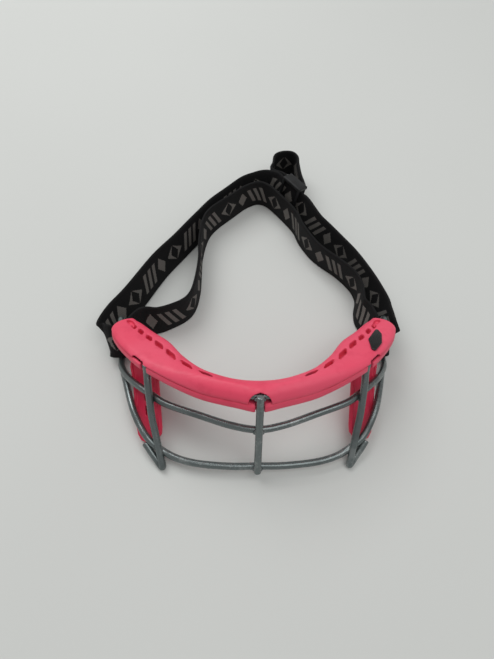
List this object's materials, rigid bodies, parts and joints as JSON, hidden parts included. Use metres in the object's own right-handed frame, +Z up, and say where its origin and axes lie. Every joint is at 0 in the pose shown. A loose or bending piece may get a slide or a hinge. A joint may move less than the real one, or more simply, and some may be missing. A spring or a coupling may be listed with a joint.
{
  "type": "lacrosse face guard",
  "caption": "Goggle-type lacrosse face guard: welded wire cage under a vented pink brow moulding, side pads, and a doubled elastic head strap with a sliding adjuster",
  "frame": {"origin": "bottom centre of the whole part as it rests on a table", "axes": "+X to the wearer's right side in the picture (right of the picture), +Y from the cage front back to the end of the strap, +Z up"},
  "size_m": [0.1967, 0.2524, 0.0589],
  "materials": {
    "coated_wire": "satin grey powder coat on steel rod",
    "pink_moulding": "soft satin moulded pink elastomer",
    "pink_cushion": "matt moulded pink foam rubber",
    "plate_plastic": "glossy black, bare",
    "webbing": "black woven elastic webbing with a plain grey woven stripe pattern",
    "slider_plastic": "satin charcoal moulded plastic"
  },
  "bodies": {
    "guard": {"upper_ring_wire": "coated_wire", "lower_ring_wire": "coated_wire", "centre_upright": "coated_wire", "left_upright": "coated_wire", "right_upright": "coated_wire", "weld_beads": "coated_wire", "brow_shell": "pink_moulding", "brow_lip": "pink_moulding", "brow_cushion": "pink_cushion", "left_cheek_channel": "pink_moulding", "right_cheek_channel": "pink_moulding", "left_cheek_cushion": "pink_cushion", "right_cheek_cushion": "pink_cushion", "badge_plate": "plate_plastic", "strap_left_turn": "webbing", "strap_right_turn": "webbing", "strap_outer_left": "webbing", "strap_outer_back": "webbing", "strap_outer_right": "webbing", "strap_inner_left": "webbing", "strap_inner_back": "webbing", "strap_inner_right": "webbing"},
    "slider": {"slider": "slider_plastic", "slider_loop": "webbing", "strap_tail": "webbing"}
  },
  "joints": [
    {"name": "slider_slide", "type": "slide", "parent": "guard", "child": "slider", "axis": [0.6252, -0.7804, 0], "range_m": [-0.006, 0.006]}
  ]
}
